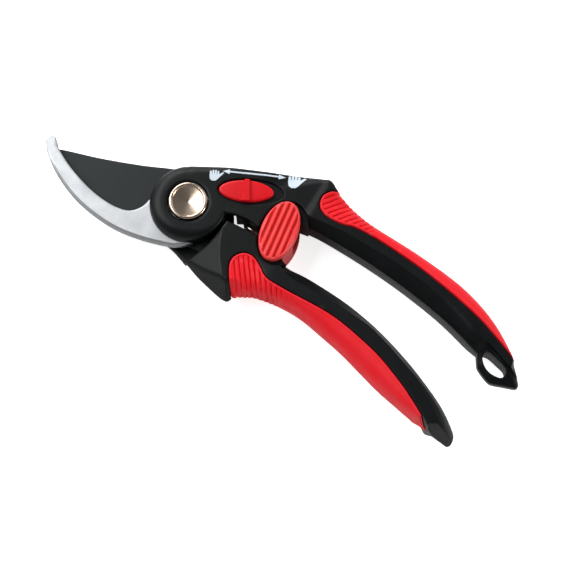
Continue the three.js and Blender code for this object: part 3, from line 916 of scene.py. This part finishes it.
def lower_surface(points):
    inner = distance(points, np.vstack([L_CROTCH[12:], L_INNER]))
    band = facet(points, inner, L_CREST, 1, L_FACET_LOW, L_RIDGE, (100, 128))
    head = 1 - step_between(36, 44, points[:, 0])
    height = 18.8 * head + band * (1 - head)
    past = distance(points, L_CREASE, signed=True)
    return height - 0.55 * np.clip(-past, 0, None)


def lower_top(points):
    height = lower_surface(points)
    height -= rounded(distance(points, L_HUB_SIDE), 0.7)
    height = lower_of(height, 10.3 + 1.6 * distance(points, L_HEEL), 1.2)
    height -= rounded(distance(points, L_TOP_SIDE), 0.6)
    height -= rounded(distance(points, L_INNER), 0.6)
    height = lower_of(height, 10.6 + 2.4 * distance(points, L_TIP), 0.8)
    height -= rounded(distance(points, L_BOUND) - GROOVE, 0.45)
    rim = rounded(distance(points, PAD_ROOM, True), 0.35)
    height = np.where(within(points, PAD_ROOM_MID), PAD_FLOOR, height - rim)
    back = ~within(points, LOWER_FRONT_MID)
    edge = rounded(distance(points, np.vstack([L_NECK_LEFT, L_HEEL])), 0.8)
    return np.where(back, BACK_LAYER[1] - edge, height)


def lower_bottom(points):
    radius = np.hypot(*points.T)
    past = distance(points, L_CREASE, signed=True)
    height = THICKNESS - lower_surface(points) - 0.37 * np.clip(-past, 0, None)
    height += rounded(distance(points, np.vstack([L_SLOT, L_CROTCH, L_INNER])), 0.7)
    height = -lower_of(-height, -9.4 + 1.6 * distance(points, L_HEEL), 1.2)
    height = -lower_of(-height, -9.4 + 2.4 * distance(points, L_TIP), 0.8)
    height += rounded(distance(points, L_BOUND) - GROOVE, 0.45)
    height = np.where(within(points, PAD_ROOM_MID), REAR_PAD_ROOF, height)
    back = step_between(17.2, 20.5, radius)
    hub = BACK_LAYER[0] + rounded(HUB_RADIUS + 1.2 - radius, 1.8)
    blended = hub * (1 - back) + height * back
    blended += rounded(distance(points, L_NECK_LEFT), 1.5) * (1 - step_between(8, 14, points[:, 0]))
    thin = np.minimum(blended, BACK_LAYER[1] - 2.4)
    blended = np.where(within(points, LOWER_FRONT_MID), blended, thin)
    return np.where(radius < NUT_ROOM - 0.05, NUT[1] + 0.9, blended)


def make_lower_handle():
    holes = [circle(radius) for radius in (BUSH_HOLE, NUT_ROOM, NUT_ROOM - 0.1)]

    def inside(points):
        red = within(points, LOWER_RED) | (distance(points, L_BOUND) < GROOVE * 0.999)
        return within(points, LOWER_WHOLE) & ~red & (np.hypot(*points.T) > BUSH_HOLE - 0.0001)

    fine = beside_edge(0.6, 3)
    slot = L_SLOT[:6]
    lines = [beside(L_BOUND, GROOVE), L_HUB_SIDE, L_STEP, L_CREST, L_CREASE[1:], slot, beside(slot, 0.2)]
    rows = [
        (L_HUB_SIDE, False, beside_edge(0.7, 3)), (L_HEEL, False, beside_edge(4, 6)),
        *((line, False, fine) for line in (L_SLOT, L_CROTCH, L_INNER)),
        (L_TIP, False, beside_edge(3, 5)),
        (L_BOUND, False, [GROOVE + d for d in beside_edge(0.45, 3)]),
        (PAD_ROOM, True, beside_edge(0.35, 3)), (L_CREASE, False, [0.35]), (L_CREST, False, [0.3]),
        (L_NECK_LEFT, False, beside_edge(1.5, 3)),
        (arc(BACK_HUB_RADIUS, 0, 360), True, beside_edge(1.8, 4)),
    ]
    plate(
        "lower_handle_shell", [LOWER_WHOLE, *holes, PAD_ROOM, PAD_ROOM_FLOOR],
        lower_top, lower_bottom, inside, lines, rows,
        body="lower_handle", node="lower_handle_body", slot="black_nylon", material=BLACK_NYLON,
    )


def make_lower_grip():
    outline = loop(L_SLOT, L_CROTCH, L_INNER, L_END, L_OUTER_CUT, L_HEEL, L_HUB_SIDE)

    def height(points):
        high = lower_of(lower_surface(points) + 0.1, 10.3 + 1.6 * distance(points, L_HEEL), 1.2)
        before_end = 12 * (1 - step_between(116, 125, points[:, 0]))
        return lower_of(high, 10.6 + 2.4 * distance(points, L_OUTER) + before_end, 0.8)

    make_grip(
        "lower_grip_soft", outline, LOWER_RED, L_BOUND, -1, (L_OUTER, L_OUTER_CUT), L_RIB, lower_rib_zone, 53,
        height, (10.2, 9.2), body="lower_handle", node="lower_grip_insert",
    )


# ---- blades

HOOK_INNER = smooth([
    [-60.7, -3.2], [-59.0, -4.7], [-56.7, -6.8], [-48.4, -10.9], [-36.8, -14.5], [-26.9, -15.6],
    [-19.5, -14.3], [-15.6, -10.2], [-14.4, -5],
])
HOOK_OUTER = smooth([
    [9.8, -11.8], [8.7, -13.4], [7.2, -14.9], [5.0, -16.5], [2.2, -18.0], [-9.2, -21.5], [-22, -23.2],
    [-37, -21.6], [-49.5, -17.2], [-58.5, -11.6], [-62.6, -7.3], [-63.3, -5.1], [-62.4, -3.5],
    [-60.7, -3.2],
])
HOOK_TANG = [[12, 6], [38.5, 21], [33, 27.5], [2, 11]]
CUTTER_SPINE = smooth([
    [-61, -8.2], [-57.5, -5.6], [-41.7, -0.5], [-26.4, 5.3], [-16.1, 9.9], [-8, 13.4],
])
CUTTER_EDGE = smooth([
    [-12, -10], [-15.5, -14.2], [-21, -17.2], [-30, -18.2], [-40, -17], [-50, -14], [-57.5, -10.4],
    [-61, -8.2],
])
CUTTER_TANG = [[5, -13.5], [42, -12.5], [42, -6.5], [8, -6.5]]


def make_hook():
    hub = HUB_RADIUS - 0.4
    round_hub = [arc(hub, 199.5, 135), arc(hub, 135, 46), HOOK_TANG[::-1], arc(hub, 26, -49)]
    outline = loop(HOOK_INNER, *round_hub, HOOK_OUTER)

    def top(points):
        bevel = 0.75 * np.clip(1.1 - distance(points, HOOK_OUTER), 0, None)
        drop = bevel * step_between(-61, -54, points[:, 0]) + rounded(distance(points, HOOK_OUTER), 0.3)
        return HOOK[1] - drop - rounded(distance(points, HOOK_INNER), 0.35)

    def bottom(points):
        height = HOOK[0] + rounded(distance(points, HOOK_OUTER), 0.5)
        grind = 1 - np.clip(distance(points, HOOK_INNER) / 2.2, 0, 1)
        return height + 1.5 * grind * step_between(-59, -52, points[:, 0])

    rows = [(HOOK_OUTER, False, [0.25, 0.5, 1.1, 1.35]), (HOOK_INNER, False, beside_edge(0.35, 3) + [2.2])]
    plate(
        "hook_plate", [outline, circle(BUSH_HOLE)], top, bottom, rows=rows, size=0.9,
        body="upper_handle", node="hook_blade", slot="satin_steel", material=SATIN_STEEL,
    )


def make_cutter():
    round_hub = [arc(HUB_RADIUS, 121, 26), [[17, -4]], CUTTER_TANG[::-1], arc(HUB_RADIUS, -75, -140)]
    outline = loop(CUTTER_SPINE, *round_hub, CUTTER_EDGE)

    def top(points):
        return CUTTING[1] - rounded(distance(points, CUTTER_SPINE), 0.45)

    def bottom(points):
        grind = 1 - np.clip(distance(points, CUTTER_EDGE) / 4.5, 0, 1)
        height = CUTTING[0] + rounded(distance(points, CUTTER_SPINE), 0.45)
        return height + (CUTTING[1] - CUTTING[0] - 0.12) * grind

    rows = [(CUTTER_SPINE, False, beside_edge(0.45, 3)), (CUTTER_EDGE, False, [1.5, 3, 4.5])]
    plate(
        "cutter_plate", [outline, circle(BUSH_HOLE)], top, bottom, rows=rows, size=0.9,
        body="lower_handle", node="cutting_blade", slot="coated_steel", material=COATED_STEEL,
    )


# ---- pivot


def make_pivot():
    low = span("pivot_bolt", Z)[0]
    seat = CAP_TOP - 2.6
    bead = 0.75
    angles = np.linspace(math.pi / 2, -math.pi / 2, 14)
    ring = [(CAP_RADIUS - bead + bead * math.sin(a), CAP_TOP - 0.62 + 0.62 * math.cos(a)) for a in angles]
    inner = CAP_RADIUS - 2 * bead - 0.1
    steps = np.linspace(1, 0, 18)
    dish = [(inner * t, CAP_TOP - 0.75 - 1.15 * (1 - math.sqrt(t * t + 0.012))) for t in steps]
    stem = [(0, low), (2.8, low), (2.8, seat), (CAP_RADIUS - 0.2, seat), (CAP_RADIUS, seat + 0.2)]
    profile = stem + ring + dish
    turned(
        "pivot_cap", profile,
        body="upper_handle", node="pivot_bolt", slot="polished_steel", material=POLISHED_STEEL,
    )


def make_nut():
    across = span("pivot_nut", X)[1]
    corners = np.array([unit(60 * k) for k in range(6)]) * across
    outline = loop(corners, step=0.4)
    hole_radius, chamfer = 3.1, across * 0.87
    hole = circle(hole_radius, 0.4)

    def bottom(points):
        radius = np.hypot(*points.T)
        return NUT[0] + np.clip((radius - chamfer) * 0.58, 0, None) + rounded(radius - hole_radius, 0.4)

    plate(
        "pivot_nut_hex", [outline, hole], level(NUT[1]), bottom,
        rows=[(arc(chamfer, 0, 360), True, [0.01, 0.3]), (hole, True, beside_edge(0.4, 3))], size=0.6,
        body="upper_handle", node="pivot_nut", slot="plain_steel", material=PLAIN_STEEL,
    )


# ---- return spring


def make_spring():
    radius, turns, sides = 3.1, 7, 10
    x, z = SPRING_AT
    start, end = SPRING_ENDS[0] + WIRE, SPRING_ENDS[1] - WIRE
    steps = turns * 32
    vertices, faces = [], []
    for i in range(steps + 1):
        t = i / steps
        a = 2 * math.pi * turns * t
        centre = np.array([x + radius * math.cos(a), start + (end - start) * t, z + radius * math.sin(a)])
        out = np.array([math.cos(a), 0, math.sin(a)])
        for k in range(sides):
            b = 2 * math.pi * k / sides
            vertices.append(centre + WIRE * (math.cos(b) * out + math.sin(b) * np.array([0, 1, 0])))
    for i in range(steps):
        for k in range(sides):
            n = (k + 1) % sides
            faces.append([i * sides + k, i * sides + n, (i + 1) * sides + n, (i + 1) * sides + k])
    faces.append(list(range(sides))[::-1])
    faces.append([steps * sides + k for k in range(sides)])
    spring = make("return_coil", vertices, faces, None, "return_spring", "spring_steel", SPRING_STEEL)
    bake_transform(spring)


# ---- hand size slider


def make_slider():
    length, width = SLIDER_LENGTH / 2, SLIDER_WIDTH / 2
    outline = oval(length, width, SLIDER_AT, SLIDER_ANGLE, 0.35, 1.9)
    low = SLIDER_FLOOR + 0.08
    bar_height = 1.3
    top_face = SLIDER_TOP - bar_height
    u, v = unit(SLIDER_ANGLE), unit(SLIDER_ANGLE + 90)

    def top(points):
        along, across = (points - SLIDER_AT) @ u, (points - SLIDER_AT) @ v
        crown = 1 - 0.35 * (along / length) ** 2 - 0.25 * (across / width) ** 2
        height = top_face - 0.6 + 0.6 * crown
        edge = distance(points, outline, True)
        bar = 1 - step_between(0, 0.5, np.abs(along) - (1.25 - 0.1 * across))
        height -= rounded(edge, 0.9, 0.8) * (1 - bar)
        return height + bar * (bar_height - rounded(edge, 0.3))

    rows = [(outline, True, beside_edge(0.9, 5))]
    for side in (-1, 1):
        for out in (0, 0.12, 0.25, 0.38, 0.5):  # lines up the bar's side
            steps = np.arange(-4.2, 4.3, 0.35)
            line = [np.array(SLIDER_AT) + u * side * (1.25 - 0.1 * t + out) + v * t for t in steps]
            rows.append((np.array(line), False, [0.001]))
    plate(
        "size_slider_button", [outline], top, level(low), rows=rows, size=0.35,
        body="size_slider", node="size_slider", slot="red_slider", material=RED_SLIDER,
    )


# ---- lock


def make_front_pad():
    outline = oval(PAD_LONG, PAD_SHORT, PAD_AT, PAD_ANGLE, 0.35)
    rib = {"origin": np.array(PAD_AT), "angle": 98, "pitch": 2.48, "phase": 0.12}
    half_flat, half_wide = 0.4, 0.85

    def top(points):
        edge = distance(points, outline, True)
        height = FRONT_PAD[1] - 0.25 - rounded(edge, 1.5, 1.3)
        phase = (points - rib["origin"]) @ unit(rib["angle"] + 90) / rib["pitch"] - rib["phase"]
        near = np.abs(phase - np.round(phase)) * rib["pitch"]
        groove = 1 - step_between(half_flat, half_wide, near)
        ridge = 0.12 * (near / rib["pitch"] * 2) ** 2
        return height + (ridge - 0.85 * groove) * step_between(0.5, 1.2, edge)

    def bottom(points):
        return FRONT_PAD[0] + rounded(distance(points, outline, True), 0.4)

    def ribbed(points):
        return within(points, outline) & (distance(points, outline, True) > 0.6)

    rows = [(outline, True, beside_edge(2, 7))]
    sides = (-half_wide, -0.7, -0.55, -half_flat, half_flat, 0.55, 0.7, half_wide)
    plate(
        "lock_pad_front", [outline], top, bottom,
        lines=rib_lines(rib, ribbed, sides, 14), rows=rows, size=0.4,
        body="lock", node="lock_front_pad", slot="red_lock", material=RED_LOCK,
    )


def make_rear_pad():
    outline = oval(PAD_LONG, PAD_SHORT, PAD_AT, PAD_ANGLE, 0.4)
    screw = (middle("lock_screw", X), middle("lock_screw", Y))
    hole = circle(3.3, 0.4, screw)
    rows = [(outline, True, beside_edge(0.9, 5)), (hole, True, beside_edge(0.4, 3))]

    def edge(points):
        return distance(points, outline, True)

    plate(
        "lock_pad_rear", [outline, hole],
        lambda p: REAR_PAD[1] - rounded(edge(p), 0.9),
        lambda p: REAR_PAD[0] + rounded(edge(p), 0.9) + rounded(distance(p, hole, True), 0.4),
        rows=rows, size=0.6, body="lock", node="lock_rear_pad", slot="red_lock", material=RED_LOCK,
    )


# ---- printed pictograms


def hand_outline(centre, scale, angle):
    """An open right hand, fingers up: a rounded palm, four fingers and a thumb."""
    points = [
        (-1.9, 0.2), (-1.7, -1.1), (-0.9, -1.8), (0.3, -1.8), (1.2, -1.1),
        (2.0, -0.1), (3.3, 1.2), (2.9, 1.6), (1.9, 0.9), (1.6, 0.7),
    ]
    for x, tip in ((1.25, 2.0), (0.35, 2.35), (-0.55, 2.35), (-1.45, 2.0)):
        points += [(x + 0.35, 0.9), (x + 0.35, tip - 0.3), (x + 0.17, tip)]
        points += [(x - 0.17, tip), (x - 0.35, tip - 0.3), (x - 0.35, 0.9)]
    along, up = unit(angle - 90), unit(angle)
    return np.array([np.array(centre) + scale * (x * along + y * up) for x, y in points])


def arrow_outline(start, end, width, head, head_width):
    """An arrow with a head at both ends."""
    start, end = np.array(start, float), np.array(end, float)
    length = np.hypot(*(end - start))
    along = (end - start) / length
    side = np.array([-along[1], along[0]])
    neck = length - head
    upper = [(head, head_width), (head, width), (neck, width), (neck, head_width)]
    points = [(0, 0), *upper, (length, 0), *((x, -y) for x, y in upper[::-1])]
    return np.array([start + x * along + y * side for x, y in points])


def make_print(name, outline):
    line = loop(outline, step=0.4)
    plate(
        name, [line], lambda p: upper_top(p) + 0.05, lambda p: upper_top(p) - 0.15, size=0.4,
        body="upper_handle", node=None, slot="pale_print", material=PRINT,
    )


# ---- other CAD nodes


def finish_cad_nodes():
    finishes = {
        SPRING_STEEL: ["slider_detent_spring", "lock_detent_spring"],
        RED_LOCK: ["lock_carriage"],
        PLAIN_STEEL: [
            "hook_rivet_1", "hook_rivet_2", "cutter_rivet_1", "cutter_rivet_2", "lock_catch_pin",
            "lock_screw", "pivot_spring_washer", "pivot_bush", "pivot_rear_washer", "size_slider_peg",
        ],
    }
    for material, names in finishes.items():
        for name in names:
            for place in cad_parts[name].material_slots:
                place.material = material


# ---- studio


def add_object(name, data):
    thing = bpy.data.objects.new(name, data)
    bpy.context.scene.collection.objects.link(thing)
    return thing


def make_studio():
    tilt, turn = math.radians(VIEW_TILT), math.radians(VIEW_TURN)
    towards = Vector((math.sin(tilt) * math.sin(turn), -math.sin(tilt) * math.cos(turn), math.cos(tilt)))
    camera_data = bpy.data.cameras.new("camera")
    camera_data.sensor_width = SENSOR
    camera_data.lens = SENSOR * VIEW_DISTANCE / VIEW_WIDTH
    camera_data.clip_start, camera_data.clip_end = 0.05, 20
    camera = add_object("camera", camera_data)
    camera.location = (Vector(VIEW_TARGET) + towards * VIEW_DISTANCE) * MM
    camera.rotation_euler = (tilt, 0, turn)
    bpy.context.scene.camera = camera

    half = 3.0
    floor_mesh = bpy.data.meshes.new("floor")
    corners = [(-half, -half, 0), (half, -half, 0), (half, half, 0), (-half, half, 0)]
    floor_mesh.from_pydata(corners, [], [(0, 1, 2, 3)])
    floor = add_object("floor", floor_mesh)
    floor.location.z = -0.0004
    paper = Nodes("floor_paper")
    fibre = paper.ramp(paper.noise(30, 3), [(0.3, grey(0.92)), (0.7, grey(0.93))])
    paper.set(Base_Color=fibre, Roughness=0.9, Emission_Color=grey(1))
    seen = paper.add("ShaderNodeLightPath").outputs["Is Camera Ray"]
    paper.link(paper.spread(seen, 0.05, 0.8), paper.shader, "Emission Strength")
    floor_mesh.materials.append(paper.material)

    def softbox(name, place, size, power):
        """A square light. Its place is metres to the right, up and above, as the camera sees the shears."""
        right, up, above = place
        data = bpy.data.lights.new(name, "AREA")
        data.shape = "SQUARE"
        data.size = size
        data.energy = power
        light = add_object(name, data)
        cos, sin = math.cos(turn), math.sin(turn)
        shift = Vector((right * cos - up * sin, right * sin + up * cos, above))
        light.location = Vector(VIEW_TARGET) * MM + shift
        light.rotation_euler = (-shift).to_track_quat("-Z", "Y").to_euler()

    softbox("key", (-0.6, 0.28, 0.74), 0.8, 8.5)
    softbox("fill", (0.65, 0.5, 0.6), 0.6, 1.2)
    softbox("top", (-0.3, 0.8, 0.4), 0.5, 4.2)
    softbox("side", (0.85, -0.3, 0.25), 0.35, 3.4)
    world = bpy.data.worlds.new("studio")
    bpy.context.scene.world = world
    world.use_nodes = True
    tree = world.node_tree
    direction = tree.nodes.new("ShaderNodeTexCoord")
    split = tree.nodes.new("ShaderNodeSeparateXYZ")
    walls = tree.nodes.new("ShaderNodeValToRGB")
    tree.links.new(direction.outputs["Generated"], split.inputs[0])
    tree.links.new(split.outputs["Z"], walls.inputs["Fac"])
    tree.links.new(walls.outputs["Color"], tree.nodes["Background"].inputs["Color"])
    for stop, (place, value) in zip(walls.color_ramp.elements, ((0.05, 0.5), (0.5, 0.12))):
        stop.position = place
        stop.color = grey(value)
    tree.nodes["Background"].inputs["Strength"].default_value = 1
    bpy.context.scene.view_settings.view_transform = "Standard"
    bpy.context.scene.view_settings.look = "None"


make_studio()
make_upper_handle()
make_upper_grip()
make_core("upper_handle_core", UPPER, U_BOUND, (44, 144), "upper_handle")
make_lower_handle()
make_lower_grip()
make_core("lower_handle_core", LOWER, L_BOUND, (27, 127), "lower_handle")
make_hook()
make_cutter()
make_pivot()
make_nut()
make_spring()
make_slider()
make_front_pad()
make_rear_pad()
make_print("print_small_hand", hand_outline((3.6, 14.2), 1.1, 118))
make_print("print_large_hand", hand_outline((32.0, 28.3), 1.4, 118))
make_print("print_arrow", arrow_outline((5.2, 17.6), (28.0, 28.3), 0.33, 2.9, 1.05))
finish_cad_nodes()
